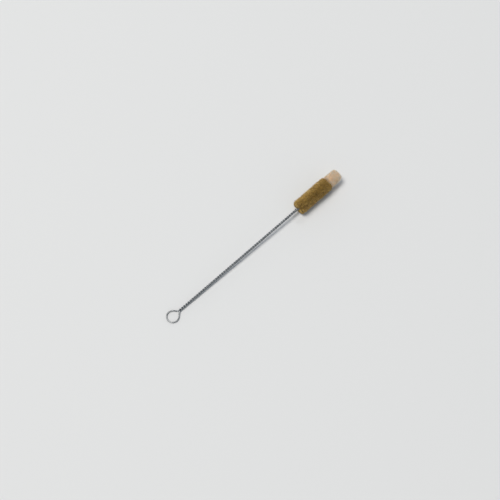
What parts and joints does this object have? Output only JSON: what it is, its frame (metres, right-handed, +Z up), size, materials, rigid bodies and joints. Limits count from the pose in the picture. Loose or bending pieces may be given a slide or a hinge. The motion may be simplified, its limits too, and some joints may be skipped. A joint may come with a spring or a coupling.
{
  "type": "test tube brush",
  "caption": "Twisted-wire test tube brush with a hanging ring, a cylindrical natural bristle head and a wool tuft at the tip.",
  "frame": {"origin": "centre of the brush's bounding box on the surface that it lies on", "axes": "+X from the ring to the wool tip, +Z up; the brush lies at rest, tilted about 2 degrees because the head is fatter than the ring"},
  "size_m": [0.25, 0.017, 0.0181],
  "materials": {
    "galvanised_wire": "drawn and zinc coated",
    "natural_bristle": "trimmed natural bristle",
    "cream_wool": "loose tuft"
  },
  "bodies": {
    "root": {"twisted_wire": "galvanised_wire", "bristle_fill": "natural_bristle", "wool_tip": "cream_wool"}
  },
  "joints": []
}
